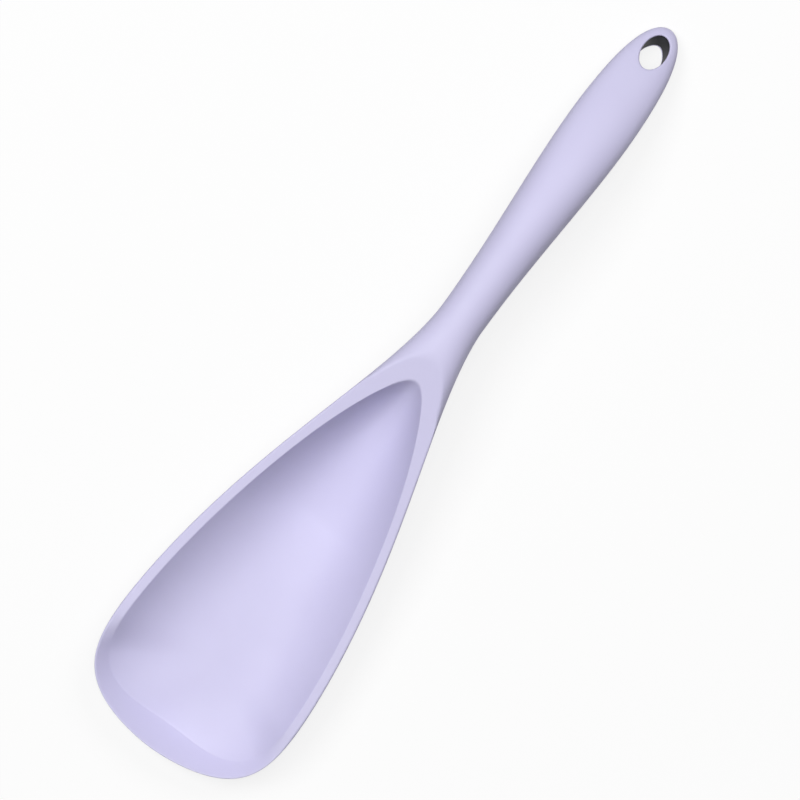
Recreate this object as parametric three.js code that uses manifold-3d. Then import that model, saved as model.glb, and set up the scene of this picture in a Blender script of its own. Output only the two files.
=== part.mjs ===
// Silicone duckbill spatula: one seamless silicone skin moulded over a stiff nylon core.
// Millimetres, +Z up. It lies as it does on a table, on the belly of its bowl and the end of its handle.
// X runs from the scraping tip to the hanging end and Y runs across. The origin is on the table, under the
// middle of the length. Every function below takes x as the distance from the tip.

import * as THREE from "three";
import { mergeVertices } from "three/addons/utils/BufferGeometryUtils.js";
import Module from "manifold-3d";

const { clamp, degToRad, lerp, smoothstep } = THREE.MathUtils;

// Driving dimensions along the tool, each one starting where the one before it ends
const NOSE_LENGTH = 35; // tip to the widest place of the head
const BELLY_LENGTH = 45; // on to where the underside leaves the table
const RISE_LENGTH = 64.5; // on to the neck end of the bowl's mouth
const SHOULDER_LENGTH = 9; // on to where the flat behind the mouth runs out
const NECK_LENGTH = 16; // on to the narrowest place of the neck
const GRIP_LENGTH = 82.5; // on to the widest place of the grip
const END_LENGTH = 33; // on to the end of the handle

// Widths
const HEAD_WIDTH = 69.6;
const NECK_WIDTH = 15.3;
const GRIP_WIDTH = 21.5;
const RIM_WIDTH = 3.2; // flat top of the bowl's side walls
const LIP_LENGTH = 8.7; // ramp between the bowl floor and the tip edge

// Heights above the table
const TIP_HEIGHT = 12.2;
const RIM_HEIGHT = 17.6; // rim at the widest place of the head
const SHOULDER_HEIGHT = 31; // rim where it runs out at the neck
const NECK_MIDDLE = 23.5; // middle of the neck's thickness
const ARCH_MIDDLE = 24.1; // middle of the handle's thickness at the top of its arch
const ARCH_FROM_NECK = 23;
const EYE_MIDDLE = 6.45; // middle of the handle's thickness at the hanging hole
const BELLY_CUT = 0.6; // how much of the round belly is flattened off to rest on
const EDGE_HEIGHT = 0.8; // rim's outer edge, from its flat top down to the widest line

// Thicknesses of the handle
const NECK_THICKNESS = 14.6;
const PALM_THICKNESS = 18;
const PALM_FROM_NECK = 45;
const EYE_THICKNESS = 10.4;
const END_THICKNESS = 8.8;

// Hanging hole
const HOLE_LENGTH = 14.7;
const HOLE_WIDTH = 8.4;
const HOLE_TILT = degToRad(26); // lean of the hole, which is square to the falling end of the handle
const EYE_WALL = 2.55; // core left between the hole and the silicone at the end of the handle

// Core, and the silicone over it
const HEAD_COVER = 1.2;
const GRIP_COVER = 1.7;
const EYE_COVER = 0.9; // thinner at the hanging hole, so that the core lines most of it
const PLATE_THICKNESS = 1.6; // core under the bowl floor
const PADDLE_SETBACK = 3; // core starts this far behind the widest place, so that the nose stays soft
const PADDLE_ROUNDING = 22; // length over which the front of the core rounds off
const PADDLE_MARGIN = 6; // core stays this far inside the rim's inner edge
const CORE_GAP = 0.3; // clearance kept all round between core and silicone

// Keys that lock the silicone to the core: pegs through the paddle, ribs through the handle
const PEG_HOLE = 7;
const PEG_PITCH = 17;
const PEG_ROW_SHARE = 0.158; // side rows of pegs, from the middle, as a share of the head's width
const SLOT_LENGTH = 12;
const SLOT_WIDTH = 4;
const SLOT_PITCH = 21;

// Shape numbers without a unit, apart from the nose's length constant
const NOSE_ROUNDING = 8.76; // length constant in millimetres over which the nose reaches full width
const NOSE_BLUNTNESS = 1.82;
const FLANK_FULLNESS = 2.49;
const FLANK_FLARE = 1.74;
const END_BLUNTNESS = 8;
const RIM_SWEEP = 2.2; // how late the rim climbs towards the shoulder
const BOWL_END_SWEEP = 13; // how late the bowl floor climbs to the mouth's end
const MOUTH_END_SWEEP = 5; // how late the mouth narrows to its rounded end
const BOWL_FRONT_ROUND = 3.2; // power of the bowl's cross-section at the widest place
const BOWL_BACK_ROUND = 2.4; // the same further back, up to where the bowl closes
const BOWL_CLOSING = 16; // length over which the bowl closes at the mouth's end, in millimetres
const BELLY_FULLNESS = 1.75; // power of the belly's cross-section, 2 being an ellipse
const FLANK_ROUND = 3.6; // the same for the round that the head's rim cuts away
const SHOULDER_ROUND = 2.6; // the same for that round at the mouth's end
const NECK_ROUND = 2.05; // the same for both faces of the neck
const PALM_ROUND = 2.2; // the same at the widest place of the grip
const EYE_ROUND = 2.8; // the same at the hanging hole
const END_ROUND = 5; // the same at the flattened end of the handle
const LIP_TAPER = 5; // power of the lip's underside, which keeps the lip thin
const LIP_SWEEP = 3; // power by which the ramp of the lip narrows round the nose
const SHOULDER_CROWN = 4; // rise of the cut-away round above the shoulder flat, in millimetres
const LIP_FADES_FROM = degToRad(58); // angle round the nose where the sloping lip starts to level out
const LIP_FADES_TO = degToRad(82);

// Fineness of the surfaces: rows along the tool, columns across half of it
const NOSE_ROWS = 14;
const BOWL_ROWS = 11;
const MOUTH_END_ROWS = 7;
const MOUTH_END_ZONE = 16; // length with closer rows before the mouth's end, in millimetres
const HANDLE_ROWS = 20;
const END_ROWS = 7;
const BOWL_COLUMNS = 8;
const RIM_COLUMNS = 6;
const BELLY_COLUMNS = 8;
const CORE_FRONT_ROWS = 5;
const CORE_BOWL_COLUMNS = 4;
const CORE_RIM_COLUMNS = 3;
const PIN_SIDES = 16;
const SLOT_SIDES = 6; // sides of each quarter of a slot's ends
const HOLE_SIDES = 28; // sides of each half of the hanging hole
const SLOPE_STEP = 0.1; // share of a rib over which a face's slope is taken

// Stations from the tip
const widestAt = NOSE_LENGTH;
const bellyEndAt = widestAt + BELLY_LENGTH;
const mouthEndAt = bellyEndAt + RISE_LENGTH;
const shoulderAt = mouthEndAt + SHOULDER_LENGTH;
const neckAt = shoulderAt + NECK_LENGTH;
const archAt = neckAt + ARCH_FROM_NECK;
const gripAt = neckAt + GRIP_LENGTH;
const endAt = gripAt + END_LENGTH;
const holeAt = endAt - GRIP_COVER - EYE_WALL - HOLE_LENGTH / 2;
const paddleAt = widestAt + PADDLE_SETBACK;

const floorThickness = PLATE_THICKNESS + 2 * HEAD_COVER;
const tall = 4 * SHOULDER_HEIGHT; // length of a cutter that passes through everything

// Smooth curve through [x, value] pairs that rises and falls only where they do (monotone cubic)
function curveThrough(pairs) {
  const last = pairs.length - 1;
  const slopes = pairs.slice(1).map(([x, y], i) => (y - pairs[i][1]) / (x - pairs[i][0]));
  const tangents = pairs.map((pair, i) => {
    const before = slopes[i - 1];
    const after = slopes[i];
    if (i === 0 || i === last || before * after <= 0) return 0;
    return (2 * before * after) / (before + after);
  });
  return (x) => {
    if (x <= pairs[0][0]) return pairs[0][1];
    if (x >= pairs[last][0]) return pairs[last][1];
    const i = pairs.findIndex((pair) => x < pair[0]) - 1;
    const span = pairs[i + 1][0] - pairs[i][0];
    const t = (x - pairs[i][0]) / span;
    const rise = t * t * (3 - 2 * t);
    const leave = span * tangents[i] * t * (1 - t) * (1 - t);
    const arrive = span * tangents[i + 1] * t * t * (t - 1);
    return lerp(pairs[i][1], pairs[i + 1][1], rise) + leave + arrive;
  };
}

// Plan outline: the head tapers to the neck, the grip swells, and both ends are rounded off
const noseShare = (x) => (1 - Math.exp(-x / NOSE_ROUNDING)) ** (1 / NOSE_BLUNTNESS);
const flankShare = (x) => (1 - Math.min(1, x / neckAt) ** FLANK_FULLNESS) ** FLANK_FLARE;
const swellShare = (x) => (1 - Math.cos(Math.PI * clamp((x - neckAt) / GRIP_LENGTH, 0, 1))) / 2;
const endShare = (x) => Math.sqrt(1 - clamp((x - neckAt) / (endAt - neckAt), 0, 1) ** END_BLUNTNESS);
const neckHalf = NECK_WIDTH / 2;
const headRise = (HEAD_WIDTH / 2 / noseShare(widestAt) - neckHalf) / flankShare(widestAt);
const gripRise = GRIP_WIDTH / 2 / endShare(gripAt) - neckHalf;

function halfWidth(x) {
  const body = neckHalf + headRise * flankShare(x) + gripRise * swellShare(x);
  return body * noseShare(x) * endShare(x);
}

// Half width of the bowl's mouth: the outline less the rim, closing to a rounded end at the neck
function mouthHalf(x) {
  const along = clamp((x - bellyEndAt) / RISE_LENGTH, 0, 1);
  return (halfWidth(x) - RIM_WIDTH) * Math.sqrt(1 - along ** MOUTH_END_SWEEP);
}

// Heights along the middle
function rimHeight(x) {
  const nose = 1 - (1 - Math.min(1, x / widestAt)) ** 2;
  const back = Math.max(0, (x - widestAt) / (shoulderAt - widestAt)) ** RIM_SWEEP;
  return TIP_HEIGHT + (RIM_HEIGHT - TIP_HEIGHT) * nose + (SHOULDER_HEIGHT - RIM_HEIGHT) * back;
}

function middleHeight(x) {
  if (x <= archAt) return lerp(NECK_MIDDLE, ARCH_MIDDLE, smoothstep(x, shoulderAt, archAt));
  return lerp(ARCH_MIDDLE, EYE_MIDDLE, ((x - archAt) / (holeAt - archAt)) ** 2);
}

const thickness = curveThrough([
  [shoulderAt, 2 * (SHOULDER_HEIGHT - NECK_MIDDLE)],
  [neckAt, NECK_THICKNESS],
  [neckAt + PALM_FROM_NECK, PALM_THICKNESS],
  [holeAt, EYE_THICKNESS],
  [endAt, END_THICKNESS],
]);

const keelHeight = (x) =>
  lerp(-BELLY_CUT, middleHeight(x) - thickness(x) / 2, smoothstep(x, bellyEndAt, neckAt));
const edgeHeight = (x) => Math.min(rimHeight(x) - EDGE_HEIGHT, middleHeight(x));
const crownHeight = (x) =>
  middleHeight(x) + thickness(x) / 2 + SHOULDER_CROWN * (1 - smoothstep(x, bellyEndAt, shoulderAt));

const endWallRise = rimHeight(mouthEndAt) - keelHeight(mouthEndAt) - floorThickness;
function floorHeight(x) {
  const along = clamp((x - widestAt) / (mouthEndAt - widestAt), 0, 1);
  return Math.max(0, keelHeight(x)) + floorThickness + endWallRise * along ** BOWL_END_SWEEP;
}

const handleRound = [
  [neckAt, NECK_ROUND],
  [gripAt, PALM_ROUND],
  [holeAt, EYE_ROUND],
  [endAt, END_ROUND],
];
const topRound = curveThrough([[bellyEndAt, FLANK_ROUND], [mouthEndAt, SHOULDER_ROUND], ...handleRound]);
const underRound = curveThrough([[bellyEndAt, BELLY_FULLNESS], ...handleRound]);
const bowlRound = curveThrough([
  [widestAt, BOWL_FRONT_ROUND],
  [bellyEndAt, BOWL_BACK_ROUND],
  [mouthEndAt - BOWL_CLOSING, BOWL_BACK_ROUND],
  [mouthEndAt, 2],
]);
const coverOver = curveThrough([
  [bellyEndAt, HEAD_COVER],
  [mouthEndAt, GRIP_COVER],
  [gripAt, GRIP_COVER],
  [holeAt, EYE_COVER],
]);

// Slope of the lip's ramp, which meets the bowl floor at its inner end
const lipSlope = (TIP_HEIGHT - floorHeight(widestAt)) / LIP_LENGTH;

// Height of a dome with this power at a share of the way from its middle (1) to its edge (0)
const dome = (share, power) => Math.max(0, 1 - share ** power) ** (1 / power);

// A rib is a line in plan from the middle of the tool out to its outline. The ribs fan round the nose and
// round the hanging hole, and run straight across between them.
function noseRib(edgeX) {
  const edgeY = halfWidth(edgeX);
  const reach = Math.hypot(widestAt - edgeX, edgeY);
  const angle = Math.atan2(edgeY, widestAt - edgeX);
  const lipShare = Math.max(0, Math.cos(angle)) ** LIP_SWEEP;
  const band = lerp(RIM_WIDTH, LIP_LENGTH, lipShare);
  const slope = lipSlope * (1 - smoothstep(angle, LIP_FADES_FROM, LIP_FADES_TO));
  const rim = rimHeight(edgeX);
  return {
    rootX: widestAt,
    edgeX,
    edgeY,
    reach,
    rim,
    lipShare,
    mouth: 1 - band / reach,
    mouthHeight: rim - band * slope,
    isNose: true,
  };
}

function straightRib(x) {
  const edgeY = halfWidth(x);
  const rim = rimHeight(x);
  return {
    rootX: x,
    edgeX: x,
    edgeY,
    reach: edgeY,
    rim,
    lipShare: 0,
    mouth: x < mouthEndAt ? mouthHalf(x) / edgeY : 0,
    mouthHeight: rim,
    isNose: false,
  };
}

function endRib(edgeX) {
  const edgeY = halfWidth(edgeX);
  const rim = rimHeight(edgeX);
  return {
    rootX: holeAt,
    edgeX,
    edgeY,
    reach: Math.hypot(edgeX - holeAt, edgeY),
    rim,
    lipShare: 0,
    mouth: 0,
    mouthHeight: rim,
    isNose: false,
  };
}

// Upper face at a share of the rib: the bowl inside the mouth, else the rim or the rounded handle
function topHeight(rib, share) {
  const x = lerp(rib.rootX, rib.edgeX, share);
  const foot = rib.isNose ? widestAt : x;
  const edge = rib.isNose ? edgeHeight(rib.edgeX) : edgeHeight(x);
  if (share < rib.mouth) {
    const bottom = floorHeight(foot);
    return bottom + (rib.mouthHeight - bottom) * (share / rib.mouth) ** bowlRound(foot);
  }
  const flat = lerp(rib.mouthHeight, rib.rim, (share - rib.mouth) / (1 - rib.mouth));
  return Math.min(flat, edge + (crownHeight(foot) - edge) * dome(share, topRound(foot)));
}

// Round underside at a share of the rib, before it is flattened
function roundHeight(rib, share) {
  const x = lerp(rib.rootX, rib.edgeX, share);
  const foot = rib.isNose ? widestAt : x;
  const edge = rib.isNose ? edgeHeight(rib.edgeX) : edgeHeight(x);
  const round = 1 - dome(share, underRound(foot));
  const rise = lerp(round, share ** LIP_TAPER, rib.lipShare);
  return lerp(keelHeight(foot), edge, rise);
}

// Lower face at a share of the rib, flattened where it rests on the table
const bottomHeight = (rib, share) => Math.max(0, roundHeight(rib, share));

// Share of the rib, from its root, that rests on the table
function restShare(rib) {
  if (roundHeight(rib, 0) >= 0) return 0;
  let [resting, clear] = [0, 1];
  while (clear - resting > 1e-6) {
    const between = (resting + clear) / 2;
    if (roundHeight(rib, between) < 0) resting = between;
    else clear = between;
  }
  return clear;
}

const onRib = (rib, share, height) =>
  new THREE.Vector3(lerp(rib.rootX, rib.edgeX, share) - endAt / 2, rib.edgeY * share, height);

// Evenly spaced values, with both ends
const steps = (count, from, to) => Array.from({ length: count + 1 }, (_, i) => lerp(from, to, i / count));

// Closed surface from the half of it on the +Y side: rows of points whose first and last row, and first and
// last column, lie on the middle plane. The other half is its mirror image.
function mirroredSurface(rows) {
  const corners = [];
  for (let i = 0; i + 1 < rows.length; i += 1) {
    for (let j = 0; j + 1 < rows[i].length; j += 1) {
      const [a, b, c, d] = [rows[i][j], rows[i + 1][j], rows[i + 1][j + 1], rows[i][j + 1]];
      corners.push(a, b, c, a, c, d);
    }
  }
  const mirrored = corners.map((p) => new THREE.Vector3(p.x, -p.y, p.z)).reverse();
  return new THREE.BufferGeometry().setFromPoints([...corners, ...mirrored]);
}

// Closed geometry, with its shared corners merged and its collapsed faces dropped, as a solid for cutting
const wasm = await Module();
wasm.setup();

function solidFrom(geometry) {
  const bare = geometry.index ? geometry.toNonIndexed() : geometry;
  bare.deleteAttribute("normal");
  bare.deleteAttribute("uv");
  const merged = mergeVertices(bare, 1e-3);
  const index = merged.index.array;
  const kept = [];
  for (let i = 0; i < index.length; i += 3) {
    const [a, b, c] = index.slice(i, i + 3);
    if (a !== b && b !== c && c !== a) kept.push(a, b, c);
  }
  const mesh = new wasm.Mesh({
    numProp: 3,
    vertProperties: merged.attributes.position.array,
    triVerts: new Uint32Array(kept),
  });
  return new wasm.Manifold(mesh);
}

function geometryFrom(solid) {
  const mesh = solid.getMesh();
  const geometry = new THREE.BufferGeometry();
  geometry.setAttribute("position", new THREE.BufferAttribute(mesh.vertProperties, 3));
  geometry.setIndex(new THREE.BufferAttribute(mesh.triVerts, 1));
  geometry.computeVertexNormals();
  return geometry;
}

// Outer surface of the silicone
const squares = (count) => steps(count, 0, 1).map((t) => t * t);
const closing = (count) => squares(count).reverse().slice(1);
const noseRibs = squares(NOSE_ROWS).map((t) => noseRib(t * widestAt));
const bowlRibs = [
  ...steps(BOWL_ROWS, widestAt, mouthEndAt - MOUTH_END_ZONE).slice(1),
  ...closing(MOUTH_END_ROWS).map((t) => mouthEndAt - MOUTH_END_ZONE * t),
].map(straightRib);
const handleRibs = steps(HANDLE_ROWS, mouthEndAt, holeAt).slice(1).map(straightRib);
const endRibs = closing(END_ROWS).map((t) => endRib(endAt - (endAt - holeAt) * t));

function skinRow(rib) {
  const rest = restShare(rib);
  const inside = steps(BOWL_COLUMNS, 0, rib.mouth).slice(0, -1);
  const outside = steps(RIM_COLUMNS, 0, Math.PI / 2).map((a) => lerp(rib.mouth, 1, Math.sin(a)));
  const under = steps(BELLY_COLUMNS, Math.PI / 2, 0).map((a) => lerp(rest, 1, Math.sin(a)));
  return [
    ...[...inside, ...outside].map((share) => onRib(rib, share, topHeight(rib, share))),
    ...[...under.slice(1), 0].map((share) => onRib(rib, share, bottomHeight(rib, share))),
  ];
}

const skinSurface = mirroredSurface([...noseRibs, ...bowlRibs, ...handleRibs, ...endRibs].map(skinRow));

// Upright depth on a rib of a cover that is measured square to a face
function uprightCover(faceHeight, rib, share, cover) {
  const [inner, outer] = [Math.max(0, share - SLOPE_STEP), Math.min(1, share + SLOPE_STEP)];
  const slope = (faceHeight(rib, outer) - faceHeight(rib, inner)) / (outer - inner) / rib.reach;
  return cover * Math.hypot(1, slope);
}

// Share of a rib that the core reaches to, or with the clearance added the hollow that it fills
const coreFull = paddleAt + PADDLE_ROUNDING;
function coreReach(rib, grow) {
  const inset = lerp(RIM_WIDTH + PADDLE_MARGIN, GRIP_COVER, smoothstep(rib.edgeX, bellyEndAt, mouthEndAt));
  const beforeFull = clamp((coreFull - rib.edgeX) / (PADDLE_ROUNDING + grow), 0, 1);
  return (1 - (inset - grow) / rib.reach) * Math.sqrt(1 - beforeFull ** 2);
}

// Core or hollow. It shares the skin's ribs, so that the cover between them is even. The hollow shares the
// core's columns and adds one outside them.
function coreSurface(grow) {
  const ribs = [
    ...squares(CORE_FRONT_ROWS).map((t) => straightRib(lerp(paddleAt - grow, coreFull, t))),
    ...[...bowlRibs, ...handleRibs].filter((rib) => rib.edgeX > coreFull),
    ...endRibs.filter((rib, i) => i % 2 === 0),
  ];
  return mirroredSurface(
    ribs.map((rib) => {
      const reach = coreReach(rib, 0);
      const crease = Math.min(rib.mouth, reach);
      const inside = steps(CORE_BOWL_COLUMNS, 0, crease);
      const outside = steps(CORE_RIM_COLUMNS, crease, reach).slice(1);
      const shares = [...inside, ...outside, coreReach(rib, grow)];
      const cover = coverOver(rib.edgeX) - grow;
      const top = shares.map((share) =>
        onRib(rib, share, topHeight(rib, share) - uprightCover(topHeight, rib, share, cover)),
      );
      const bottom = shares.map((share) =>
        onRib(rib, share, bottomHeight(rib, share) + uprightCover(bottomHeight, rib, share, cover)),
      );
      return [...top, ...bottom.reverse()];
    }),
  );
}

// Upright cutters at their places in plan
function uprightPin(radius, x, y) {
  const pin = new THREE.CylinderGeometry(radius, radius, tall, PIN_SIDES).rotateX(Math.PI / 2);
  return solidFrom(pin.translate(x - endAt / 2, y, 0));
}

function uprightSlot(length, width, x) {
  const outline = new THREE.Shape();
  outline.absarc((length - width) / 2, 0, width / 2, -Math.PI / 2, Math.PI / 2);
  outline.absarc((width - length) / 2, 0, width / 2, Math.PI / 2, (3 * Math.PI) / 2);
  const options = { depth: tall, bevelEnabled: false, curveSegments: SLOT_SIDES };
  const slot = new THREE.ExtrudeGeometry(outline, options);
  return solidFrom(slot.translate(x - endAt / 2, 0, -tall / 2));
}

function hangingHole() {
  const outline = new THREE.Shape().absellipse(0, 0, HOLE_LENGTH / 2, HOLE_WIDTH / 2, 0, 2 * Math.PI);
  const options = { depth: tall, bevelEnabled: false, curveSegments: HOLE_SIDES };
  const pin = new THREE.ExtrudeGeometry(outline, options);
  pin.translate(0, 0, -tall / 2).rotateY(HOLE_TILT);
  return solidFrom(pin.translate(holeAt - endAt / 2, 0, EYE_MIDDLE));
}

// Places of the keys: pegs in a middle row and two side rows set half a pitch on, slots along the handle
function keyCutters(grow) {
  const cutters = [];
  const radius = PEG_HOLE / 2 - grow;
  const rowOffset = PEG_ROW_SHARE * HEAD_WIDTH;
  const firstPeg = paddleAt + PEG_PITCH / 2 + PEG_HOLE / 2;
  for (let x = firstPeg; x < mouthEndAt - 2 * PEG_PITCH; x += PEG_PITCH) {
    const sideX = x + PEG_PITCH / 2;
    cutters.push(uprightPin(radius, x, 0), uprightPin(radius, sideX, rowOffset));
    cutters.push(uprightPin(radius, sideX, -rowOffset));
  }
  for (let x = neckAt + SLOT_PITCH / 2; x < holeAt - SLOT_PITCH; x += SLOT_PITCH) {
    cutters.push(uprightSlot(SLOT_LENGTH - 2 * grow, SLOT_WIDTH - 2 * grow, x));
  }
  return cutters;
}

const withKeys = (grow) =>
  keyCutters(grow).reduce((solid, cutter) => solid.subtract(cutter), solidFrom(coreSurface(grow)));

const hole = hangingHole();
const coreSolid = withKeys(0).subtract(hole);
const skinSolid = solidFrom(skinSurface).subtract(withKeys(CORE_GAP)).subtract(hole);

function piece(name, solid, color, roughness) {
  const material = new THREE.MeshStandardMaterial({ color, roughness, metalness: 0 });
  const mesh = new THREE.Mesh(geometryFrom(solid), material);
  mesh.name = name;
  return mesh;
}

const spatula = new THREE.Group();
spatula.name = "duckbill_spatula";
spatula.add(piece("silicone_skin", skinSolid, 0xcfc6ee, 0.55));
spatula.add(piece("nylon_core", coreSolid, 0x3c3d40, 0.5));

export default spatula;
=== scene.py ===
"""Looks of the silicone duckbill spatula: its moulded skin, the core that lines its hanging hole, and a studio."""

import logging
import math
from dataclasses import dataclass, field
from enum import Enum

import bpy
import numpy as np
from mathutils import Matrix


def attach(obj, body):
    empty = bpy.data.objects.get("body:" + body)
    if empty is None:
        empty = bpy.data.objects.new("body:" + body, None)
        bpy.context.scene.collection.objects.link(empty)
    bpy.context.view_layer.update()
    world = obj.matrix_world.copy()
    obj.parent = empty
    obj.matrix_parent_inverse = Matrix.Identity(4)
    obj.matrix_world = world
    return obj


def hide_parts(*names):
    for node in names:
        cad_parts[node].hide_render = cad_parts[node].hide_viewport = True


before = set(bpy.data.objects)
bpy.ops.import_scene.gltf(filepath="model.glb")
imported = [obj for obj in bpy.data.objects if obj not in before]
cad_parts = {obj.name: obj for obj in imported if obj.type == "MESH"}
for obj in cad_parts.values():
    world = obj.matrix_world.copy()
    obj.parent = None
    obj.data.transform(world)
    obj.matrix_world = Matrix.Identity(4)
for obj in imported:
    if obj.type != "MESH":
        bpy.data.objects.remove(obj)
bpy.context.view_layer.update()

LOG = logging.getLogger("spatula")
BODY = "root"
MM = 0.001

# Numbers of the Mix node's colour sockets, whose names it shares with its other kinds of data
MIX_FIRST, MIX_SECOND, MIX_RESULT = 6, 7, 2

# Points of a mesh that agree to this many decimals of a metre are one point
MERGE_DECIMALS = 7

# Smallest divisors that the surfaces allow, in millimetres and square millimetres
LEAST_WIDTH = 1e-9
LEAST_SQUARE = 1e-3

Array = np.ndarray
Colour = tuple[float, float, float, float]


class Face(Enum):
    """The two faces of the tool, with the way out of each one along Z."""

    TOP = 1.0
    UNDERSIDE = -1.0


def linear(code: str) -> Colour:
    """Turn an sRGB hex colour into linear light, by the standard's straight foot and its power of 2.4 above it.

    Args:
        code: Colour such as "#d9d4f3".

    Returns:
        Linear red, green, blue and an alpha of 1.
    """
    parts = np.array([int(code[i : i + 2], 16) for i in (1, 3, 5)]) / 255
    light = np.where(parts <= 0.04045, parts / 12.92, ((parts + 0.055) / 1.055) ** 2.4)
    return (float(light[0]), float(light[1]), float(light[2]), 1.0)


def add_node(
    tree: bpy.types.NodeTree,
    kind: str,
    settings: dict[str, object] | None = None,
    inputs: dict[str | int, object] | None = None,
) -> bpy.types.Node:
    """Add a node with its settings, and set or link its inputs.

    Args:
        tree: Node tree that gets the node.
        kind: Blender's type name of the node.
        settings: Attributes of the node and their values.
        inputs: Values or output sockets for the node's inputs, by name or number.

    Returns:
        The new node.
    """
    node = tree.nodes.new(kind)
    for name, value in (settings or {}).items():
        setattr(node, name, value)
    for key, value in (inputs or {}).items():
        if isinstance(value, bpy.types.NodeSocket):
            tree.links.new(value, node.inputs[key])
        else:
            node.inputs[key].default_value = value
    return node


def empty_material(name: str) -> bpy.types.Material:
    """Start a material with no nodes.

    Args:
        name: Name of the material.

    Returns:
        The new material.
    """
    made = bpy.data.materials.new(name)
    made.use_nodes = True
    made.node_tree.nodes.clear()
    return made


def backdrop_rays(tree: bpy.types.NodeTree) -> bpy.types.NodeSocket:
    """Tell the rays that show the backdrop: those from the camera, off a glossy face or through a clear one.

    Args:
        tree: Node tree of the backdrop.

    Returns:
        Socket that is 1 for those rays and 0 for the others.
    """
    ray = add_node(tree, "ShaderNodeLightPath").outputs
    seen = ray["Is Camera Ray"]
    for other in ("Is Glossy Ray", "Is Transmission Ray"):
        seen = add_node(tree, "ShaderNodeMath", {"operation": "MAXIMUM"}, {0: seen, 1: ray[other]}).outputs[0]
    return seen


def smooth(x: Array | float, start: float, end: float) -> Array:
    """Ease from 0 at start to 1 at end: 3t^2 - 2t^3 of the share t of the way, held at both ends."""
    t = np.clip((np.asarray(x, float) - start) / (end - start), 0, 1)
    return t * t * (3 - 2 * t)


def between(a: Array | float, b: Array | float, t: Array | float) -> Array:
    """Straight mix of a and b, which is a at t = 0 and b at t = 1."""
    return a + (b - a) * t


def soft_min(a: Array, b: Array, width: Array | float) -> Array:
    """Lower of two heights, with the kink where they cross rounded off.

    Where the heights differ by less than the width k, the lower one drops by (k - difference)^2 / 4k.

    Args:
        a: First heights.
        b: Second heights.
        width: Difference in height below which the rounding starts.

    Returns:
        Rounded lower heights.
    """
    width = np.maximum(width, LEAST_WIDTH)
    near = np.maximum(width - np.abs(a - b), 0)
    return np.minimum(a, b) - near**2 / (4 * width)


def soft_max(a: Array, b: Array | float, width: float) -> Array:
    """Higher of two heights, rounded in the way of soft_min."""
    return -soft_min(-a, -np.asarray(b, float), width)


def quarter_round(distance: Array, radius: float) -> Array:
    """Drop below a flat at a distance d from its edge, rounded with a quarter circle: r - sqrt(r^2 - (r - d)^2)."""
    inside = np.clip(radius - distance, 0, radius)
    return radius - np.sqrt(radius**2 - inside**2)


def dome(share: Array, power: Array | float) -> Array:
    """Height of a dome, (1 - s^p)^(1/p), at a share s of the way from its middle to its edge."""
    return np.maximum(0, 1 - np.clip(share, 0, 1) ** power) ** (1 / power)


def closed_mesh(name: str, points: Array, quads: Array) -> bpy.types.Object:
    """Make a smooth mesh object of quads, with points in one place merged and sides of no length left out.

    Args:
        name: Name of the object and its mesh.
        points: Corner points in metres.
        quads: Four corner numbers per face, turned outwards.

    Returns:
        The new object, linked to the scene.
    """
    _, first, merged = np.unique(np.round(points, MERGE_DECIMALS), axis=0, return_index=True, return_inverse=True)
    corners = merged.reshape(-1)[quads]
    kept = corners != np.roll(corners, -1, axis=1)
    sides = kept.sum(axis=1)
    whole = sides >= 3
    loops, totals = corners[whole][kept[whole]], sides[whole]
    mesh = bpy.data.meshes.new(name)
    mesh.vertices.add(len(first))
    mesh.vertices.foreach_set("co", points[first].astype(np.float32).ravel())
    mesh.loops.add(len(loops))
    mesh.loops.foreach_set("vertex_index", loops.astype(np.int32))
    mesh.polygons.add(len(totals))
    mesh.polygons.foreach_set("loop_start", np.concatenate([[0], np.cumsum(totals)[:-1]]).astype(np.int32))
    mesh.update(calc_edges=True)
    mesh.validate()
    mesh.polygons.foreach_set("use_smooth", np.ones(len(mesh.polygons), bool))
    made = bpy.data.objects.new(name, mesh)
    bpy.context.scene.collection.objects.link(made)
    return made


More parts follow.
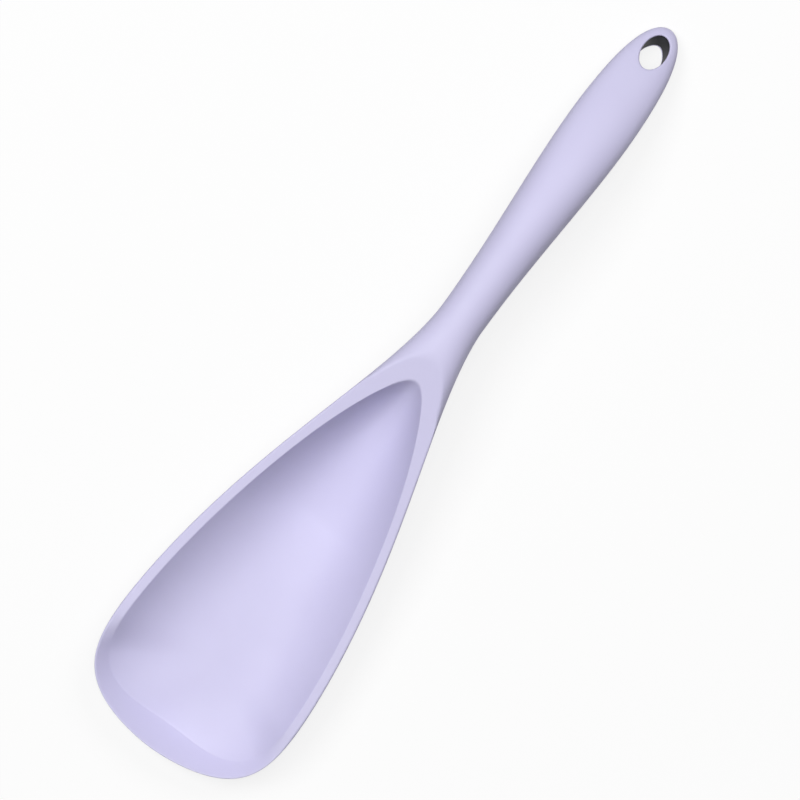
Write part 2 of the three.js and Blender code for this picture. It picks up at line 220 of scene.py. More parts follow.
@dataclass(frozen=True)
class MouldedSilicone:
    """Platinum-cured silicone out of a fine-blasted mould.

    The eye sees an even, chalky lavender with a soft wide sheen, a faint cloudiness in the pigment and a fine skin.
    """

    colour: str = "#d4d1ef"
    cloud_colour: str = "#d0ccec"
    cloud_mm: float = 16.0
    grain_mm: float = 0.7
    grain_height_mm: float = 0.03
    grain_strength: float = 0.3
    wave_mm: float = 9.0
    wave_height_mm: float = 0.06
    wave_strength: float = 0.25
    wave_span: tuple[float, float] = (0.3, 0.7)
    roughness: tuple[float, float] = (0.48, 0.56)
    ior: float = 1.41

    def make(self) -> bpy.types.Material:
        """Make the material.

        Returns:
            The new material.
        """
        made = empty_material("moulded_silicone")
        tree = made.node_tree
        place = add_node(tree, "ShaderNodeTexCoord").outputs["Object"]
        cloud = add_node(
            tree,
            "ShaderNodeTexNoise",
            inputs={"Vector": place, "Scale": 1 / (self.cloud_mm * MM), "Detail": 3.0, "Roughness": 0.5},
        ).outputs["Fac"]
        colour = add_node(
            tree,
            "ShaderNodeMix",
            {"data_type": "RGBA"},
            {"Factor": cloud, MIX_FIRST: linear(self.colour), MIX_SECOND: linear(self.cloud_colour)},
        ).outputs[MIX_RESULT]
        # The mould's blasting is a tenth of a millimetre fine, and is drawn coarser so that it shows
        grain = add_node(
            tree,
            "ShaderNodeTexNoise",
            inputs={"Vector": place, "Scale": 1 / (self.grain_mm * MM), "Detail": 2.0, "Roughness": 0.6},
        ).outputs["Fac"]
        wave = add_node(
            tree,
            "ShaderNodeTexNoise",
            inputs={"Vector": place, "Scale": 1 / (self.wave_mm * MM), "Detail": 1.0},
        ).outputs["Fac"]
        sheen = add_node(
            tree,
            "ShaderNodeMapRange",
            inputs={
                "Value": wave,
                "From Min": self.wave_span[0],
                "From Max": self.wave_span[1],
                "To Min": self.roughness[0],
                "To Max": self.roughness[1],
            },
        ).outputs[0]
        waves = add_node(
            tree,
            "ShaderNodeBump",
            inputs={"Strength": self.wave_strength, "Distance": self.wave_height_mm * MM, "Height": wave},
        ).outputs[0]
        skin = add_node(
            tree,
            "ShaderNodeBump",
            inputs={
                "Strength": self.grain_strength,
                "Distance": self.grain_height_mm * MM,
                "Height": grain,
                "Normal": waves,
            },
        ).outputs[0]
        surface = add_node(
            tree,
            "ShaderNodeBsdfPrincipled",
            inputs={"Base Color": colour, "Roughness": sheen, "IOR": self.ior, "Normal": skin},
        )
        add_node(tree, "ShaderNodeOutputMaterial", inputs={"Surface": surface.outputs[0]})
        return made


@dataclass(frozen=True)
class GlassFilledNylon:
    """Charcoal nylon with short glass fibres, moulded.

    The eye sees a near-black dull grey with faint streaks where the fibres lie along the flow.
    """

    colour: str = "#242428"
    streak_colour: str = "#343538"
    streak_mm: tuple[float, float] = (7.0, 0.5)
    ridge_height_mm: float = 0.04
    ridge_strength: float = 0.3
    roughness: float = 0.6
    ior: float = 1.53
    specular: float = 0.3

    def make(self) -> bpy.types.Material:
        """Make the material.

        Returns:
            The new material.
        """
        made = empty_material("glass_filled_nylon")
        tree = made.node_tree
        along, across = (1 / (size * MM) for size in self.streak_mm)
        place = add_node(tree, "ShaderNodeTexCoord").outputs["Object"]
        drawn = add_node(
            tree, "ShaderNodeMapping", inputs={"Vector": place, "Scale": (along, across, across)}
        ).outputs[0]
        fibres = add_node(
            tree, "ShaderNodeTexNoise", inputs={"Vector": drawn, "Scale": 1.0, "Detail": 4.0}
        ).outputs["Fac"]
        colour = add_node(
            tree,
            "ShaderNodeMix",
            {"data_type": "RGBA"},
            {"Factor": fibres, MIX_FIRST: linear(self.colour), MIX_SECOND: linear(self.streak_colour)},
        ).outputs[MIX_RESULT]
        ridges = add_node(
            tree,
            "ShaderNodeBump",
            inputs={"Strength": self.ridge_strength, "Distance": self.ridge_height_mm * MM, "Height": fibres},
        ).outputs[0]
        surface = add_node(
            tree,
            "ShaderNodeBsdfPrincipled",
            inputs={
                "Base Color": colour,
                "Roughness": self.roughness,
                "IOR": self.ior,
                "Specular IOR Level": self.specular,
                "Normal": ridges,
            },
        )
        add_node(tree, "ShaderNodeOutputMaterial", inputs={"Surface": surface.outputs[0]})
        return made


@dataclass(frozen=True)
class Curve:
    """Smooth curve through places and values that rises and falls only where they do (monotone cubic)."""

    places: tuple[float, ...]
    values: tuple[float, ...]

    def at(self, x: Array) -> Array:
        """Height of the curve: a cubic per span, whose tangents are the harmonic means of the slopes beside them.

        Args:
            x: Places to evaluate, held inside the curve's span.

        Returns:
            Values at those places.
        """
        place, value = np.array(self.places), np.array(self.values)
        slopes = np.diff(value) / np.diff(place)
        tangents = np.zeros(len(place))
        same = slopes[:-1] * slopes[1:] > 0
        total = np.where(same, slopes[:-1] + slopes[1:], 1)
        tangents[1:-1] = np.where(same, 2 * slopes[:-1] * slopes[1:] / total, 0)
        x = np.clip(x, place[0], place[-1])
        i = np.clip(np.searchsorted(place, x, side="right") - 1, 0, len(slopes) - 1)
        span = place[i + 1] - place[i]
        t = (x - place[i]) / span
        leave = span * tangents[i] * t * (1 - t) ** 2
        arrive = span * tangents[i + 1] * t * t * (t - 1)
        return between(value[i], value[i + 1], t * t * (3 - 2 * t)) + leave + arrive


@dataclass(frozen=True)
class ToolForm:
    """Sizes of the tool in millimetres, and its heights and widths at a distance x from the scraping tip."""

    widest_at: float = 35.0
    belly_end_at: float = 80.0
    mouth_end_at: float = 144.5
    shoulder_at: float = 153.5
    neck_at: float = 169.5
    arch_at: float = 192.5
    palm_at: float = 214.5
    grip_at: float = 252.0
    end_at: float = 285.0
    hole_at: float = 273.4
    head_width: float = 69.6
    neck_width: float = 15.3
    grip_width: float = 21.5
    rim_width: float = 3.2
    lip_length: float = 8.7
    tip_height: float = 12.2
    rim_height: float = 17.6
    shoulder_height: float = 31.0
    neck_middle: float = 23.5
    arch_middle: float = 24.1
    eye_middle: float = 6.45
    belly_cut: float = 0.6
    edge_height: float = 0.8
    neck_thickness: float = 14.6
    palm_thickness: float = 18.0
    eye_thickness: float = 10.4
    end_thickness: float = 8.8
    floor_thickness: float = 4.0
    shoulder_crown: float = 4.0
    nose_rounding: float = 8.76
    nose_bluntness: float = 1.82
    flank_fullness: float = 2.49
    flank_flare: float = 1.74
    end_bluntness: float = 8.0
    rim_sweep: float = 2.2
    bowl_end_sweep: float = 13.0
    mouth_end_sweep: float = 5.0
    bowl_front_round: float = 3.2
    bowl_back_round: float = 2.4
    bowl_closing: float = 16.0
    lip_taper: float = 5.0
    lip_sweep: float = 3.0
    lip_fades: tuple[float, float] = (math.radians(58), math.radians(82))
    flank_round: float = 3.6
    shoulder_round: float = 2.6
    belly_fullness: float = 1.75
    neck_round: float = 2.05
    palm_round: float = 2.2
    eye_round: float = 2.8
    end_round: float = 5.0

    def half_width(self, x: Array) -> Array:
        """Half width in plan: head flank, neck and grip swell added up, times the rounding of the nose and of the end.

        Args:
            x: Distances from the tip.

        Returns:
            Half widths.
        """
        x = np.asarray(x, float)
        along = (x - self.neck_at) / (self.end_at - self.neck_at)

        def nose(at: Array) -> Array:
            """Rounding of the nose: (1 - exp(-x / r))^(1/b)."""
            return (1 - np.exp(-at / self.nose_rounding)) ** (1 / self.nose_bluntness)

        def flank(at: Array) -> Array:
            """Fall of the head's flank from the tip to the neck: (1 - (x / neck)^f)^g."""
            return (1 - np.minimum(1, at / self.neck_at) ** self.flank_fullness) ** self.flank_flare

        def end(at: Array) -> Array:
            """Rounding of the handle's end: sqrt(1 - s^b) of the share s of the handle."""
            return np.sqrt(1 - np.clip(at, 0, 1) ** self.end_bluntness)

        swell = (1 - np.cos(np.pi * np.clip((x - self.neck_at) / (self.grip_at - self.neck_at), 0, 1))) / 2
        neck = self.neck_width / 2
        widest = np.float64(self.widest_at)
        head = (self.head_width / 2 / nose(widest) - neck) / flank(widest)
        grip_along = (self.grip_at - self.neck_at) / (self.end_at - self.neck_at)
        grip = self.grip_width / 2 / end(np.float64(grip_along)) - neck
        return (neck + head * flank(x) + grip * swell) * nose(x) * end(along)

    def mouth_square(self, x: Array) -> Array:
        """Square of the mouth's half width, which falls through 0 at the mouth's rounded end."""
        along = np.maximum(0, (x - self.belly_end_at) / (self.mouth_end_at - self.belly_end_at))
        return (self.half_width(x) - self.rim_width) ** 2 * (1 - along**self.mouth_end_sweep)

    def rim(self, x: Array) -> Array:
        """Height of the rim: a parabola up from the tip, then a late climb to the shoulder.

        Args:
            x: Distances from the tip.

        Returns:
            Heights.
        """
        nose = 1 - (1 - np.minimum(1, x / self.widest_at)) ** 2
        back = np.maximum(0, (x - self.widest_at) / (self.shoulder_at - self.widest_at)) ** self.rim_sweep
        climb = (self.shoulder_height - self.rim_height) * back
        return self.tip_height + (self.rim_height - self.tip_height) * nose + climb

    def middle(self, x: Array) -> Array:
        """Height of the middle of the handle's thickness: eased up to the arch, then a parabola down to the hole.

        Args:
            x: Distances from the tip.

        Returns:
            Heights.
        """
        rise = between(self.neck_middle, self.arch_middle, smooth(x, self.shoulder_at, self.arch_at))
        beyond = np.maximum(0, (x - self.arch_at) / (self.hole_at - self.arch_at))
        return np.where(x <= self.arch_at, rise, between(self.arch_middle, self.eye_middle, beyond**2))

    def thickness(self, x: Array) -> Array:
        """Thickness of the handle: a smooth curve through its root, neck, palm, eye and end.

        Args:
            x: Distances from the tip.

        Returns:
            Thicknesses.
        """
        root = 2 * (self.shoulder_height - self.neck_middle)
        places = (self.shoulder_at, self.neck_at, self.palm_at, self.hole_at, self.end_at)
        values = (root, self.neck_thickness, self.palm_thickness, self.eye_thickness, self.end_thickness)
        return Curve(places, values).at(x)

    def handle_round(self) -> tuple[tuple[float, ...], tuple[float, ...]]:
        """Places along the handle, and the powers of its domes there."""
        places = (self.neck_at, self.grip_at, self.hole_at, self.end_at)
        return places, (self.neck_round, self.palm_round, self.eye_round, self.end_round)

    def top_round(self, x: Array) -> Array:
        """Power of the upper face's dome: 2 is an ellipse, more is squarer."""
        places, powers = self.handle_round()
        head = (self.belly_end_at, self.mouth_end_at)
        return Curve(head + places, (self.flank_round, self.shoulder_round) + powers).at(x)

    def under_round(self, x: Array) -> Array:
        """Power of the underside's dome."""
        places, powers = self.handle_round()
        return Curve((self.belly_end_at,) + places, (self.belly_fullness,) + powers).at(x)

    def bowl_round(self, x: Array) -> Array:
        """Power of the bowl's cross-section, which ends as a parabola so that the bowl closes smoothly."""
        places = (self.widest_at, self.belly_end_at, self.mouth_end_at - self.bowl_closing, self.mouth_end_at)
        return Curve(places, (self.bowl_front_round, self.bowl_back_round, self.bowl_back_round, 2.0)).at(x)

    def keel(self, x: Array) -> Array:
        """Height of the underside's lowest line before it is flattened on the table."""
        under_handle = self.middle(x) - self.thickness(x) / 2
        return between(-self.belly_cut, under_handle, smooth(x, self.belly_end_at, self.neck_at))

    def edge(self, x: Array) -> Array:
        """Height of the widest line, where the top and the underside meet."""
        return np.minimum(self.rim(x) - self.edge_height, self.middle(x))

    def crown(self, x: Array) -> Array:
        """Height of the round that the handle has, carried on over the head, where the rim cuts it away."""
        above = self.shoulder_crown * (1 - smooth(x, self.belly_end_at, self.shoulder_at))
        return self.middle(x) + self.thickness(x) / 2 + above

    def floor(self, x: Array) -> Array:
        """Height of the bowl floor's lowest line, with the end wall climbing as a high power of the way along.

        Args:
            x: Distances from the tip.

        Returns:
            Heights.
        """
        ends = np.float64(self.mouth_end_at)
        wall = self.rim(ends) - self.keel(ends) - self.floor_thickness
        along = np.maximum(0, (x - self.widest_at) / (self.mouth_end_at - self.widest_at))
        return np.maximum(0, self.keel(x)) + self.floor_thickness + wall * along**self.bowl_end_sweep


@dataclass(frozen=True)
class PlanPoints:
    """Points in plan, with their place on the rib that runs through them from the middle line to the outline."""

    x: Array
    y: Array
    share: Array


@dataclass
class SiliconeSkin:
    """The lavender moulding: bowl, rim, lip, neck and grip in one closed surface with a tunnel for the hole.

    Lengths are in millimetres. A name in _at or _from is a place along the tool, one in _ribs or _columns is a number
    of mesh lines, and wall_rounds and halvings are the steps of two searches.
    """

    form: ToolForm = field(default_factory=ToolForm)
    finish: MouldedSilicone = field(default_factory=MouldedSilicone)
    crease: float = 0.35
    shoulder_softness: float = 0.5
    shoulder_from: float = 110.0
    table_softness: float = 0.2
    hole_length: float = 14.7
    hole_width: float = 8.4
    hole_tilt: float = math.radians(26)
    hole_lip: float = 0.7
    under_lip: float = 0.4
    lip_land: float = 0.1
    core_seat: float = 0.7
    join_at: float = 257.0
    fan_from: float = 261.0
    fan_lag: float = 20.0
    fan_margin: float = 5.0
    bowl_end_from: float = 128.0
    mouth_held_at: float = 139.0
    handle_from: float = 157.0
    round_from: float = 190.0
    column_spread: float = 0.9
    nose_ribs: int = 60
    body_ribs: tuple[int, int, int] = (64, 70, 72)
    bowl_columns: int = 24
    crease_columns: int = 8
    rim_columns: int = 8
    edge_columns: int = 10
    end_ribs: int = 44
    lip_columns: int = 8
    face_columns: int = 24
    seat_columns: int = 8
    wall_rounds: int = 6
    halvings: int = 48

    @property
    def columns(self) -> int:
        """Number of columns from the middle line to the outline."""
        return self.bowl_columns + self.crease_columns + self.rim_columns + self.edge_columns

    def shares(self, mouth: Array, reach: Array) -> Array:
        """Places of the columns on each rib, close together at the mouth's crease and at the rounded outer edge.

        Args:
            mouth: Share of each rib at which the mouth's edge lies, one per row.
            reach: Length of each rib.

        Returns:
            Rows of shares from 0 to 1.
        """
        half = self.crease / reach
        outer = self.form.edge_height / reach
        inside = np.linspace(0, 1, self.bowl_columns, endpoint=False) ** self.column_spread * (mouth - half)
        crease = mouth - half + 2 * half * np.linspace(0, 1, self.crease_columns, endpoint=False)
        band = np.linspace(0, 1, self.rim_columns, endpoint=False)
        band = between(mouth + half, 1 - outer, band)
        turn = np.sin(np.linspace(0, np.pi / 2, self.edge_columns + 1))
        return np.concatenate([inside, crease, band, 1 - outer * (1 - turn)], axis=1)

    def round_shares(self) -> Array:
        """Places of the columns on a round section: the sine of even angles."""
        return np.sin(np.linspace(0, np.pi / 2, self.columns + 1))[None, :]

    def bowl(self, x: Array, y: Array) -> Array:
        """Bowl surface behind the nose, carried on past the mouth's edge.

        It is the floor line plus (rim - floor) * (y / mouth half width)^p. Both factors of the quotient pass through
        0 at the mouth's end, so the quotient itself runs on smoothly.

        Args:
            x: Distances from the tip.
            y: Distances from the middle line.

        Returns:
            Heights.
        """
        form = self.form
        power = form.bowl_round(x)
        square = form.mouth_square(x)
        square = np.where(np.abs(square) < LEAST_SQUARE, LEAST_SQUARE, square)
        floor = form.floor(x)
        curl = (form.rim(x) - floor) / square
        return floor + curl * np.abs(y) ** power * np.abs(square) ** (1 - power / 2)

    def top(self, at: PlanPoints) -> Array:
        """Upper face behind the nose: the lowest of bowl, rounded rim and handle round, with the kinks eased.

        Args:
            at: Points in plan.

        Returns:
            Heights.
        """
        form = self.form
        rim = form.rim(at.x)
        steep = form.bowl_back_round * (form.rim_height - form.floor_thickness)
        steep = steep / (form.head_width / 2 - form.rim_width)
        scooped = soft_min(self.bowl(at.x, at.y), rim, steep * self.crease)
        to_edge = (1 - at.share) * form.half_width(at.x)
        flat = scooped - quarter_round(to_edge, form.edge_height)
        edge = form.edge(at.x)
        handle = edge + (form.crown(at.x) - edge) * dome(at.share, form.top_round(at.x))
        soft = self.shoulder_softness * smooth(at.x, self.shoulder_from, form.mouth_end_at) * (1 - at.share**2)
        return np.where(at.x < form.neck_at, soft_min(flat, handle, soft), handle)

    def underside(self, at: PlanPoints) -> Array:
        """Lower face behind the nose: an upturned dome from the keel to the edge, flattened where it meets the table.

        Args:
            at: Points in plan.

        Returns:
            Heights.
        """
        form = self.form
        lift = 1 - dome(at.share, form.under_round(at.x))
        return soft_max(between(form.keel(at.x), form.edge(at.x), lift), 0, self.table_softness)

    def nose_rows(self) -> Array:
        """Rows that fan round the nose from the middle of the widest place.

        Inside the mouth the height is floor + (mouth height - floor) * (share / mouth)^p. Outside it the lip is a
        straight ramp to the edge. The kink between them, of slope change D, is rounded by D * (r - d)^2 / 4r.

        Returns:
            Grid of points: ribs, then columns over the top and back underneath, then x, y and z.
        """
        form = self.form
        edge_x = form.widest_at * np.linspace(0, 1, self.nose_ribs)[:, None] ** 2
        edge_y = form.half_width(edge_x)
        reach = np.hypot(form.widest_at - edge_x, edge_y)
        angle = np.arctan2(edge_y, form.widest_at - edge_x)
        lip = np.maximum(0, np.cos(angle)) ** form.lip_sweep
        band = between(form.rim_width, form.lip_length, lip)
        floor = form.floor_thickness
        slope = (form.tip_height - floor) / form.lip_length * (1 - smooth(angle, *form.lip_fades))
        rim = form.rim(edge_x)
        mouth = 1 - band / reach
        mouth_height = rim - band * slope

        share = self.shares(mouth, reach)
        power = form.bowl_front_round
        inside = floor + (mouth_height - floor) * (share / mouth) ** power
        outside = mouth_height + slope * (share - mouth) * reach
        turn = slope - power * (mouth_height - floor) / (mouth * reach)
        near = np.maximum(0, self.crease - np.abs(share - mouth) * reach)
        top = np.where(share < mouth, inside, outside) + turn * near**2 / (4 * self.crease)
        top -= quarter_round((1 - share) * reach, form.edge_height)

        below = self.round_shares()[:, ::-1]
        belly = 1 - dome(below, form.under_round(np.float64(form.widest_at)))
        lift = between(belly, below**form.lip_taper, lip)
        bottom = soft_max(between(-form.belly_cut, form.edge(edge_x), lift), 0, self.table_softness)
        share = np.concatenate([share, np.repeat(below[:, 1:], len(edge_x), axis=0)], axis=1)
        height = np.concatenate([top, bottom[:, 1:]], axis=1)
        return np.stack([between(form.widest_at, edge_x, share), edge_y * share, height], axis=2)

    def body_rows(self) -> Array:
        """Straight rows across the tool, from the widest place to the block round the hanging hole.

        Returns:
            Grid of points in the order of nose_rows.
        """
        form = self.form
        marks = (form.widest_at, self.bowl_end_from, self.handle_from, self.join_at)
        spans = zip(marks, marks[1:], self.body_ribs)
        x = np.concatenate([np.linspace(a, b, n, endpoint=False) for a, b, n in spans] + [[self.join_at]])
        x = x[1:, None]
        width = form.half_width(x)
        held = np.minimum(x, self.mouth_held_at)
        mouth = np.sqrt(form.mouth_square(held)) / form.half_width(held)
        blend = smooth(x, form.mouth_end_at, self.round_from)
        share = between(self.shares(mouth, width), self.round_shares(), blend)
        over = PlanPoints(np.broadcast_to(x, share.shape), share * width, share)
        below = np.repeat(self.round_shares()[:, ::-1], len(x), axis=0)
        under = PlanPoints(np.broadcast_to(x, below.shape), below * width, below)
        top = np.stack([over.x, over.y, self.top(over)], axis=2)
        bottom = np.stack([under.x, under.y, self.underside(under)], axis=2)
        return np.concatenate([top, bottom[:, 1:]], axis=1)

    def fan(self, x: Array, y: Array) -> PlanPoints:
        """Find the ribs through points near the hole.

        Rib e runs from (root(e), 0) to the outline at e. The root keeps up with e until the fan starts, and then lags
        as L * (1 - exp(-(e - start) / L)), so the ribs turn smoothly towards the end. The rib through a point is the
        zero of a cross product, found by halving.

        Args:
            x: Distances from the tip.
            y: Distances from the middle line, 0 or more.

        Returns:
            The points with their shares.
        """
        form = self.form

        def root(e: Array) -> Array:
            """Inner end of rib e on the middle line."""
            past = np.maximum(0, e - self.fan_from)
            return np.minimum(e, self.fan_from) + self.fan_lag * (1 - np.exp(-past / self.fan_lag))

        low = np.full(x.shape, self.join_at - self.fan_margin)
        high = np.full(x.shape, form.end_at)
        for _ in range(self.halvings):
            e = (low + high) / 2
            side = (e - root(e)) * y - form.half_width(e) * (x - root(e))
            low, high = np.where(side < 0, e, low), np.where(side < 0, high, e)
        across, along = form.half_width(high), high - root(high)
        share = ((x - root(high)) * along + y * across) / (along**2 + across**2)
        return PlanPoints(x, y, np.clip(share, 0, 1))

    def hole_reach(self, angle: Array, height: Array) -> Array:
        """Distance from the hole's middle to its wall, in plan, at a height.

        The hole is an ellipse along a tilted axis, so at each height it is an ellipse that is moved along X.

        Args:
            angle: Directions in plan, 0 along +X.
            height: Heights at which the wall is met.

        Returns:
            Distances.
        """
        form = self.form
        a = self.hole_length / 2 / math.cos(self.hole_tilt)
        b = self.hole_width / 2
        moved = (height - form.eye_middle) * math.tan(self.hole_tilt)
        c, s = np.cos(angle), np.sin(angle)
        square = (c / a) ** 2 + (s / b) ** 2
        middle = moved * c / a**2
        rest = (moved / a) ** 2 - 1
        return (middle + np.sqrt(middle**2 - square * rest)) / square

    def face_rays(self, out_x: Array, out_y: Array, face: Face) -> Array:
        """Rays on one face, from the hole's wall out to the join or the outline, with the hole's lip rounded.

        Args:
            out_x: Distances of the rays' outer ends from the tip.
            out_y: Distances of the rays' outer ends from the middle line.
            face: Which face.

        Returns:
            Grid of points: rays, then places from the wall outwards, then x, y and z.
        """
        form = self.form
        height_of, radius = (self.top, self.hole_lip) if face is Face.TOP else (self.underside, self.under_lip)
        angle = np.arctan2(out_y, out_x - form.hole_at)[:, None]
        c, s = np.cos(angle), np.sin(angle)
        wall = np.full(angle.shape, self.hole_width / 2)
        for _ in range(self.wall_rounds):
            level = height_of(self.fan(form.hole_at + wall * c, wall * s))
            wall = self.hole_reach(angle, level - face.value * radius)
        reach = np.hypot(out_x - form.hole_at, out_y)[:, None]
        lip = radius * (1 - np.cos(np.linspace(0, np.pi / 2, self.lip_columns + 1)))[None, :]
        rest = np.sin(np.linspace(0, np.pi / 2, self.face_columns + 1)[1:])[None, :]
        away = np.concatenate([np.repeat(lip, len(angle), axis=0), between(radius, reach - wall, rest)], axis=1)
        x, y = form.hole_at + (wall + away) * c, (wall + away) * s
        x[:, -1], y[:, -1] = out_x, out_y
        drop = quarter_round(away, radius)
        return np.stack([x, y, height_of(self.fan(x, y)) - face.value * drop], axis=2)

    def end_rows(self) -> Array:
        """Rays round the hanging hole: in along the underside, up the tunnel and out along the top.

        The tunnel's wall stands back behind each lip, because the core lines it there.

        Returns:
            Grid of points: rays from the join round to the end, then places along the path, then x, y and z.
        """
        form = self.form
        join_y = self.round_shares()[0] * form.half_width(np.float64(self.join_at))
        turn = np.linspace(0, np.pi / 2, self.end_ribs + 1)[1:]
        edge_x = between(self.join_at, form.end_at, np.sin(turn))
        out_x = np.concatenate([np.full(join_y.shape, self.join_at), edge_x])
        out_y = np.concatenate([join_y, form.half_width(edge_x)])
        out_y[-1] = 0
        under = self.face_rays(out_x, out_y, Face.UNDERSIDE)
        over = self.face_rays(out_x, out_y, Face.TOP)
        low, high = under[:, :1], over[:, :1]
        axis = (high - low) / np.linalg.norm(high - low, axis=2, keepdims=True)
        middle = np.array([form.hole_at, 0, form.eye_middle])
        away = (low + high) / 2 - middle
        away[..., 2] = 0
        away = away / np.linalg.norm(away, axis=2, keepdims=True) * self.core_seat
        low_land, high_land = low + axis * self.lip_land, high - axis * self.lip_land
        steps = np.linspace(0, 1, self.seat_columns + 1)[None, :, None]
        seat = between(low_land, high_land, steps) + away
        return np.concatenate([under[:, ::-1], low_land, seat, high_land, over], axis=1)

    def build(self) -> bpy.types.Object:
        """Make the skin's mesh object from both halves of its grids.

        Returns:
            The new object, at the origin.
        """
        grids = [np.concatenate([self.nose_rows(), self.body_rows()]), self.end_rows()]
        points, quads, count = [], [], 0
        for grid in grids:
            rows, columns, _ = grid.shape
            number = np.arange(rows * columns).reshape(rows, columns) + count
            quads.append(np.stack([number[:-1, :-1], number[1:, :-1], number[1:, 1:], number[:-1, 1:]], axis=2))
            points.append(grid.reshape(-1, 3))
            count += rows * columns
        half = np.concatenate(points)
        faces = np.concatenate([q.reshape(-1, 4) for q in quads])
        both = np.concatenate([half, half * (1, -1, 1)])
        faces = np.concatenate([faces, faces[:, ::-1] + len(half)])
        both = (both - (self.form.end_at / 2, 0, 0)) * MM
        return closed_mesh("silicone_skin_moulding", both, faces)

    def dress(self, skin: bpy.types.Object) -> None:
        """Give the skin its finish, and its place in the frame.

        Args:
            skin: The object that build made.
        """
        skin.data.materials.append(self.finish.make())
        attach(skin, BODY)
        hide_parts("silicone_skin")


@dataclass
class NylonCore:
    """The stiff core, which shows as the lining of the hanging hole."""

    node: str = "nylon_core"
    finish: GlassFilledNylon = field(default_factory=GlassFilledNylon)

    def dress(self, core: bpy.types.Object) -> None:
        """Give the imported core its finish.

        Args:
            core: The core's object in the frame.
        """
        core.data.materials.clear()
        core.data.materials.append(self.finish.make())


@dataclass(frozen=True)
class StudioPaper:
    """Seamless paper that bounces as a pale grey, and is lifted to white where the camera sees it.

    Near the tool the lift leaves its shadow, and further out, in metres, the paper fades to plain white.
    """

    colour: str = "#a0a0a0"
    seen_colour: str = "#fafafa"
    lift: float = 0.8
    fade: tuple[float, float] = (0.3, 1.0)

    def make(self) -> bpy.types.Material:
        """Make the material.

        Returns:
            The new material.
        """
        made = empty_material("studio_paper")
        tree = made.node_tree
        seen = backdrop_rays(tree)
        place = add_node(tree, "ShaderNodeTexCoord").outputs["Object"]
        away = add_node(tree, "ShaderNodeVectorMath", {"operation": "LENGTH"}, {0: place}).outputs["Value"]
        lift = add_node(
            tree,
            "ShaderNodeMapRange",
            inputs={"Value": away, "From Min": self.fade[0], "From Max": self.fade[1], "To Min": self.lift},
        ).outputs[0]
        lifted = add_node(tree, "ShaderNodeMath", {"operation": "MULTIPLY"}, {0: seen, 1: lift}).outputs[0]
        tone = add_node(
            tree,
            "ShaderNodeMix",
            {"data_type": "RGBA"},
            {"Factor": seen, MIX_FIRST: linear(self.colour), MIX_SECOND: linear(self.seen_colour)},
        ).outputs[MIX_RESULT]
        paper = add_node(tree, "ShaderNodeBsdfDiffuse", inputs={"Color": tone}).outputs[0]
        white = add_node(tree, "ShaderNodeEmission", inputs={"Strength": 1.0}).outputs[0]
        mixed = add_node(tree, "ShaderNodeMixShader", inputs={0: lifted, 1: paper, 2: white}).outputs[0]
        add_node(tree, "ShaderNodeOutputMaterial", inputs={"Surface": mixed})
        return made


@dataclass(frozen=True)
class SoftBox:
    """A square soft light that faces the middle of the tool.

    The bearing is the way to it in the picture, 0 to the right and 90 degrees up. Lengths are in metres.
    """

    name: str
    bearing: float
    height_angle: float
    distance: float
    size: float
    power: float

    def build(self, picture_turn: float) -> None:
        """Hang the light.

        Args:
            picture_turn: Angle of the picture's right-hand side about Z.
        """
        light = bpy.data.lights.new(self.name, "AREA")
        light.shape = "SQUARE"
        light.size = self.size
        light.energy = self.power
        made = bpy.data.objects.new(self.name, light)
        around, up = picture_turn + math.radians(self.bearing), math.radians(self.height_angle)
        aside = self.distance * math.cos(up)
        made.location = (aside * math.cos(around), aside * math.sin(around), self.distance * math.sin(up))
        made.rotation_euler = (0, math.pi / 2 - up, around)
        bpy.context.scene.collection.objects.link(made)


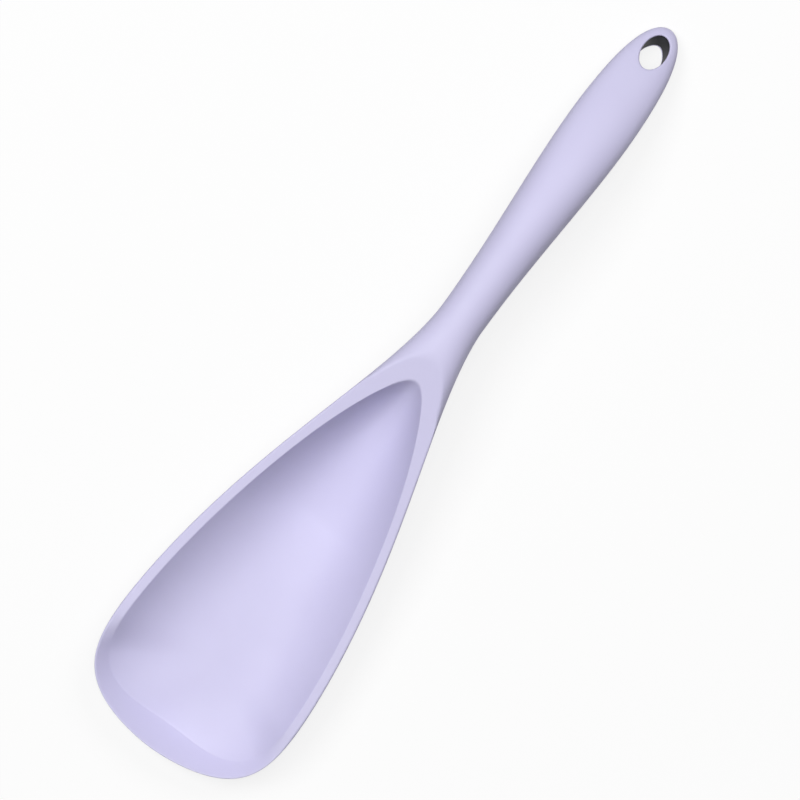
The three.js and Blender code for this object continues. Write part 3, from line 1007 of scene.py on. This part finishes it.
@dataclass
class Studio:
    """Overhead camera, pale floor, soft light from the left, from past the handle's end and from straight above."""

    turn: float = math.radians(-54.114)
    aim: tuple[float, float] = (-0.0055, 0.0008)
    camera_height: float = 1.010
    lens: float = 140.4
    sensor: float = 36.0
    clip: tuple[float, float] = (0.05, 20.0)
    floor_size: float = 6.0
    fill: float = 0.04
    lights: tuple[SoftBox, ...] = (
        SoftBox("soft_key", 150, 62, 1.8, 0.8, 15.4),
        SoftBox("soft_end_light", 48, 50, 1.8, 0.8, 8.9),
        SoftBox("soft_top_light", 0, 90, 1.8, 0.8, 10.2),
    )

    def build(self) -> None:
        """Make the floor, light, world and camera."""
        bpy.context.scene.view_settings.view_transform = "Standard"
        self.floor()
        self.world()
        for light in self.lights:
            light.build(self.turn)
        self.camera()

    def camera(self) -> None:
        """Hang the camera over the tool, looking straight down."""
        view = bpy.data.cameras.new("overhead_camera")
        view.lens = self.lens
        view.sensor_width = self.sensor
        view.clip_start, view.clip_end = self.clip
        made = bpy.data.objects.new("overhead_camera", view)
        made.location = (self.aim[0], self.aim[1], self.camera_height)
        made.rotation_euler = (0, 0, self.turn)
        bpy.context.scene.collection.objects.link(made)
        bpy.context.scene.camera = made

    def floor(self) -> None:
        """Lay the floor that the tool rests on."""
        half = self.floor_size / 2
        corners = [(-half, -half, 0), (half, -half, 0), (half, half, 0), (-half, half, 0)]
        mesh = bpy.data.meshes.new("studio_floor")
        mesh.from_pydata(corners, [], [(0, 1, 2, 3)])
        made = bpy.data.objects.new("studio_floor", mesh)
        made.data.materials.append(StudioPaper().make())
        bpy.context.scene.collection.objects.link(made)

    def world(self) -> None:
        """Fill the shadows evenly from all round, and show white beyond the floor."""
        made = bpy.data.worlds.new("studio_fill")
        made.use_nodes = True
        tree = made.node_tree
        tree.nodes.clear()
        strength = add_node(
            tree,
            "ShaderNodeMapRange",
            inputs={"Value": backdrop_rays(tree), "To Min": self.fill, "To Max": 1.0},
        ).outputs[0]
        white = (1.0, 1.0, 1.0, 1.0)
        sky = add_node(tree, "ShaderNodeBackground", inputs={"Color": white, "Strength": strength}).outputs[0]
        add_node(tree, "ShaderNodeOutputWorld", inputs={"Surface": sky})
        bpy.context.scene.world = made


def main() -> None:
    """Build the skin, dress the core and set up the studio."""
    logging.basicConfig(level=logging.INFO, format="%(name)s: %(message)s")
    moulding = SiliconeSkin()
    skin = moulding.build()
    moulding.dress(skin)
    LOG.info("silicone skin: %d faces", len(skin.data.polygons))

    core = NylonCore()
    core.dress(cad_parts[core.node])
    LOG.info("nylon core: dressed")

    Studio().build()


if __name__ == "__main__":
    main()
